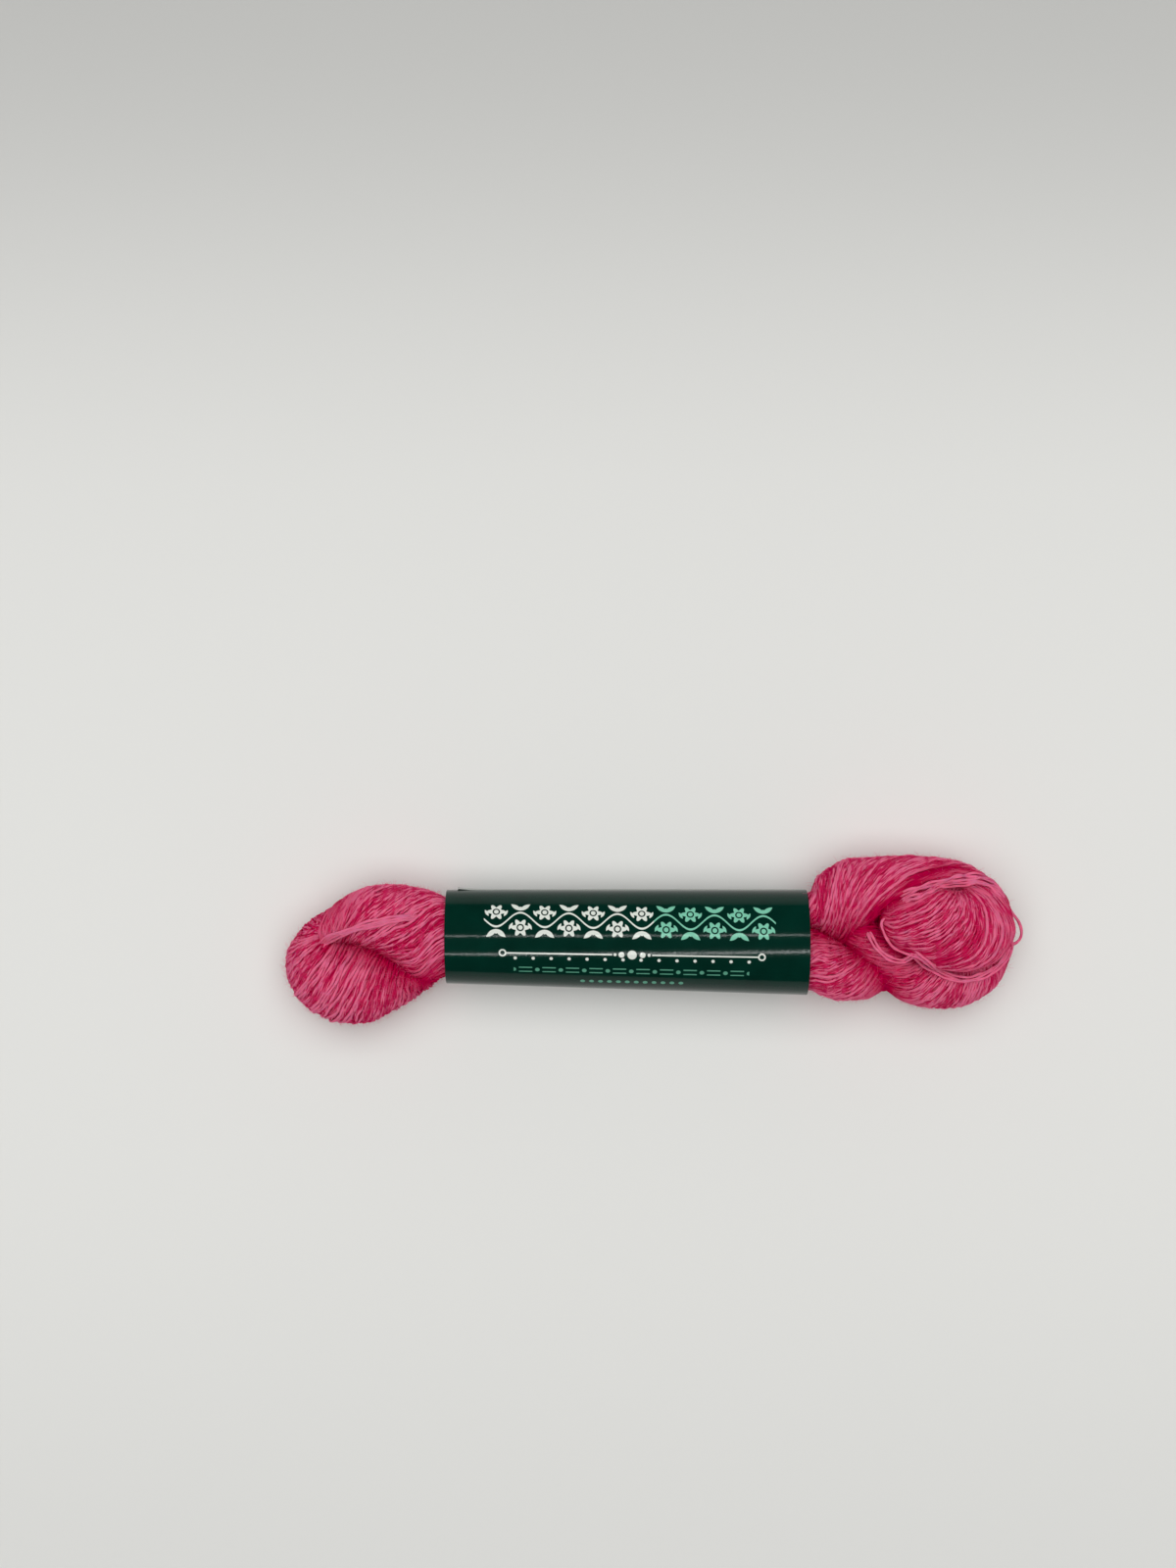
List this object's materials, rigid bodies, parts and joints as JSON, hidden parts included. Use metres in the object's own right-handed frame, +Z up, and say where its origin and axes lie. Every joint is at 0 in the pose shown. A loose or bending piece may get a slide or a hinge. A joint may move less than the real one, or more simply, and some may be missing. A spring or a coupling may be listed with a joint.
{
  "type": "skein of wool thread",
  "caption": "Small twisted skein of fine merino wool thread with a paper band around its middle, one end folded and the other tucked through its own loop.",
  "frame": {"origin": "on the table, under the middle of the whole skein", "axes": "+X along the skein, from its folded end to the end that is tucked through its loop; +Z up"},
  "size_m": [0.12, 0.028, 0.0194],
  "materials": {
    "wool": "soft low-twist wool thread, matte with a slight sheen",
    "paper": "glossy laminated paper"
  },
  "bodies": {
    "root": {"skein": "wool", "band": "paper"}
  },
  "joints": []
}
